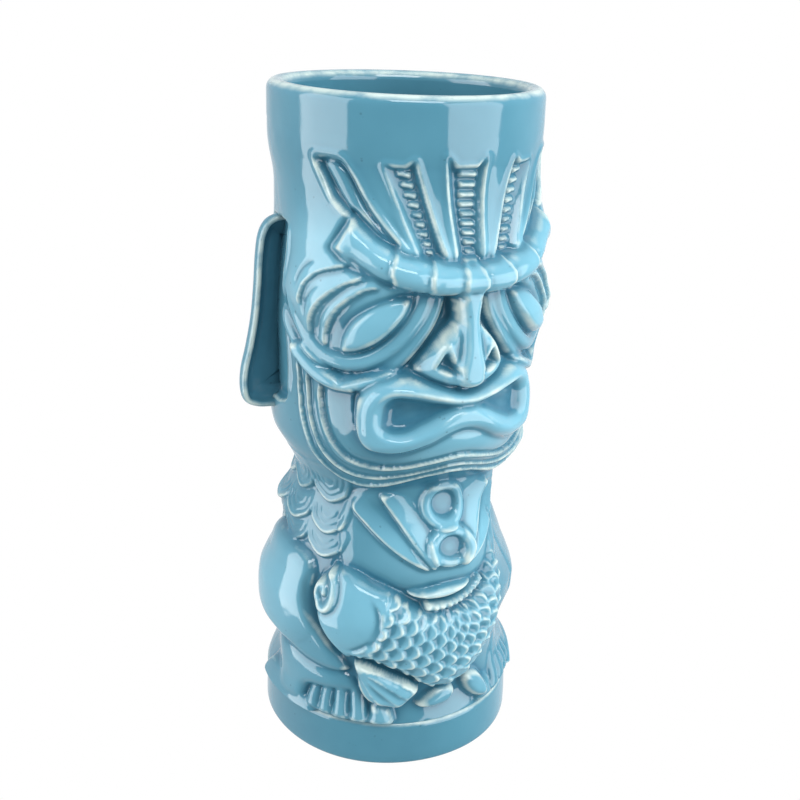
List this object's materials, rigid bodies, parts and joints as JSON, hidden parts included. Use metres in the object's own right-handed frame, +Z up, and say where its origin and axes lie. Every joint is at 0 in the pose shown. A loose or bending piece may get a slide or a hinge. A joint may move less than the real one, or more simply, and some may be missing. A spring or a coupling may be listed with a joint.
{
  "type": "tiki mug",
  "caption": "Tall footed ceramic drinking mug shaped as a carved totem figure with a masked face, side ears, scaled shoulders and a fish held across its belly.",
  "frame": {"origin": "centre of the plinth's flat foot, on the surface that the mug stands on", "axes": "+Z up the cup's axis, from the foot to the rim; the carved face looks along -Y; +X is the face's own left"},
  "size_m": [0.0864, 0.0806, 0.18],
  "materials": {
    "wall_glaze": "glossy pale celadon-blue glaze, deeper where it pools",
    "relief_glaze": "glossy pale celadon-blue glaze that breaks to cream on raised edges"
  },
  "bodies": {
    "root": {"arm_left": "relief_glaze", "arm_right": "relief_glaze", "belly_fold": "relief_glaze", "brow_segment_1_left": "relief_glaze", "brow_segment_1_right": "relief_glaze", "brow_segment_2_left": "relief_glaze", "brow_segment_2_right": "relief_glaze", "brow_segment_3_left": "relief_glaze", "brow_segment_3_right": "relief_glaze", "brow_segment_centre": "relief_glaze", "cape_row_1_left": "relief_glaze", "cape_row_1_right": "relief_glaze", "cape_row_2_left": "relief_glaze", "cape_row_2_right": "relief_glaze", "cape_row_3_left": "relief_glaze", "cape_row_3_right": "relief_glaze", "crest_beads_centre": "relief_glaze", "crest_beads_left": "relief_glaze", "crest_beads_right": "relief_glaze", "crest_ribs_centre": "relief_glaze", "crest_ribs_left": "relief_glaze", "crest_ribs_right": "relief_glaze", "crest_spear_left": "relief_glaze", "crest_spear_rib_left": "relief_glaze", "crest_spear_rib_right": "relief_glaze", "crest_spear_right": "relief_glaze", "cup_shell": "wall_glaze", "ear_left": "relief_glaze", "ear_right": "relief_glaze", "eye_left": "relief_glaze", "eye_right": "relief_glaze", "eye_ring_inner_left": "relief_glaze", "eye_ring_inner_right": "relief_glaze", "eye_ring_outer_left": "relief_glaze", "eye_ring_outer_right": "relief_glaze", "fish_body": "relief_glaze", "fish_fin": "relief_glaze", "fish_fin_beads": "relief_glaze", "fish_head": "relief_glaze", "fish_lip": "relief_glaze", "fish_tail": "relief_glaze", "instep_left": "relief_glaze", "instep_right": "relief_glaze", "jowl_inner": "relief_glaze", "jowl_middle": "relief_glaze", "jowl_outer": "relief_glaze", "lips": "relief_glaze", "necklace_leaf_long_left": "relief_glaze", "necklace_leaf_long_right": "relief_glaze", "necklace_leaf_short_left": "relief_glaze", "necklace_leaf_short_right": "relief_glaze", "nose": "relief_glaze", "pebble": "relief_glaze", "pendant": "relief_glaze", "plinth": "wall_glaze", "temple_ridges_left": "relief_glaze", "temple_ridges_right": "relief_glaze", "toes_left": "relief_glaze", "toes_right": "relief_glaze"}
  },
  "joints": []
}
